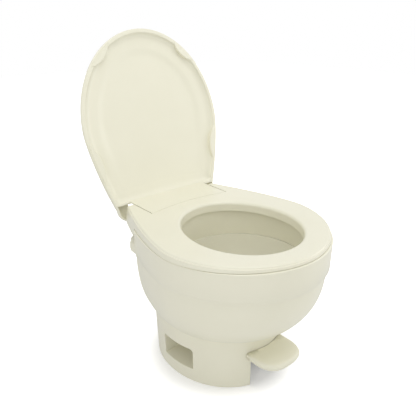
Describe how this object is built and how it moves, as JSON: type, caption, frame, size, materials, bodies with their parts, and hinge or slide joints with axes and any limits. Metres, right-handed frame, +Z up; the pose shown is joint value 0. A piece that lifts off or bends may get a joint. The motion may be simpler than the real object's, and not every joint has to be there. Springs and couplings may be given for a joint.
{
  "type": "recreational vehicle toilet",
  "caption": "Low foot-pedal flush toilet for a recreational vehicle, with a slow-tapering round seat, a raised lid and a half-ball valve below the bowl.",
  "frame": {"origin": "centre of the outlet, in the plane of the floor", "axes": "+Z up, the front and the pedal towards -Y, the sitter's right hand towards -X"},
  "size_m": [0.3872, 0.5247, 0.7031],
  "materials": {
    "cream_gloss": "glossy",
    "cream_satin": "satin",
    "pale_rubber": "matte",
    "black_rubber": "matte",
    "grey_plastic": "matte",
    "natural_plastic": "satin",
    "steel": "satin",
    "brass": "satin"
  },
  "bodies": {
    "base": {"bowl": "cream_gloss", "basin": "cream_gloss", "pedestal": "cream_gloss", "base_plate": "cream_gloss", "hinge_pin_right": "natural_plastic", "hinge_pin_left": "natural_plastic", "floor_bolt_right": "brass", "floor_bolt_left": "brass", "bolt_washer_right": "steel", "bolt_washer_left": "steel", "bolt_nut_right": "steel", "bolt_nut_left": "steel", "valve_housing": "grey_plastic", "shaft_bush_right": "natural_plastic", "shaft_bush_left": "natural_plastic", "ball_seal": "black_rubber", "seal_retainer": "grey_plastic", "flange_seal": "black_rubber", "pedal_pivot_pin": "steel", "pedal_return_spring": "steel", "water_valve": "grey_plastic", "inlet_connector": "natural_plastic", "supply_hose": "natural_plastic", "flush_hose": "natural_plastic", "rinse_nozzle": "natural_plastic", "bowl_screw_1": "steel", "bowl_screw_2": "steel", "bowl_screw_3": "steel", "bowl_screw_4": "steel"},
    "seat_body": {"seat": "cream_gloss", "seat_bumper_front_right": "pale_rubber", "seat_bumper_front_left": "pale_rubber", "seat_bumper_rear_right": "pale_rubber", "seat_bumper_rear_left": "pale_rubber"},
    "lid_body": {"lid": "cream_gloss"},
    "pedal_body": {"pedal": "cream_satin"},
    "ball_body": {"half_ball": "natural_plastic", "drive_pinion": "grey_plastic", "idler_shaft": "steel"},
    "plunger_body": {"valve_plunger": "steel"}
  },
  "joints": [
    {"name": "seat_hinge", "type": "hinge", "parent": "base", "child": "seat_body", "pos_m": [0, 0.1594, 0.316], "axis": [-1, 0, 0], "range_deg": [0, 95]},
    {"name": "lid_hinge", "type": "hinge", "parent": "seat_body", "child": "lid_body", "pos_m": [0, 0.1594, 0.316], "axis": [1, 0, 0], "range_deg": [0, 105.3]},
    {"name": "pedal_hinge", "type": "hinge", "parent": "base", "child": "pedal_body", "pos_m": [0, -0.07675, 0.058], "axis": [1, 0, 0], "range_deg": [0, 18], "stiffness_Nm_per_rad": 8, "springref_deg": -5.73},
    {"name": "ball_turn", "type": "hinge", "parent": "base", "child": "ball_body", "pos_m": [0, 0, 0.105], "axis": [1, 0, 0], "range_deg": [-90, 0]},
    {"name": "plunger_slide", "type": "slide", "parent": "base", "child": "plunger_body", "axis": [0, 1, 0], "range_m": [0, 0.0069]}
  ],
  "couplings": [
    {"joint": "ball_turn", "follows": "pedal_hinge", "ratio": -5},
    {"joint": "plunger_slide", "follows": "pedal_hinge", "m_per_rad": 0.0219}
  ]
}
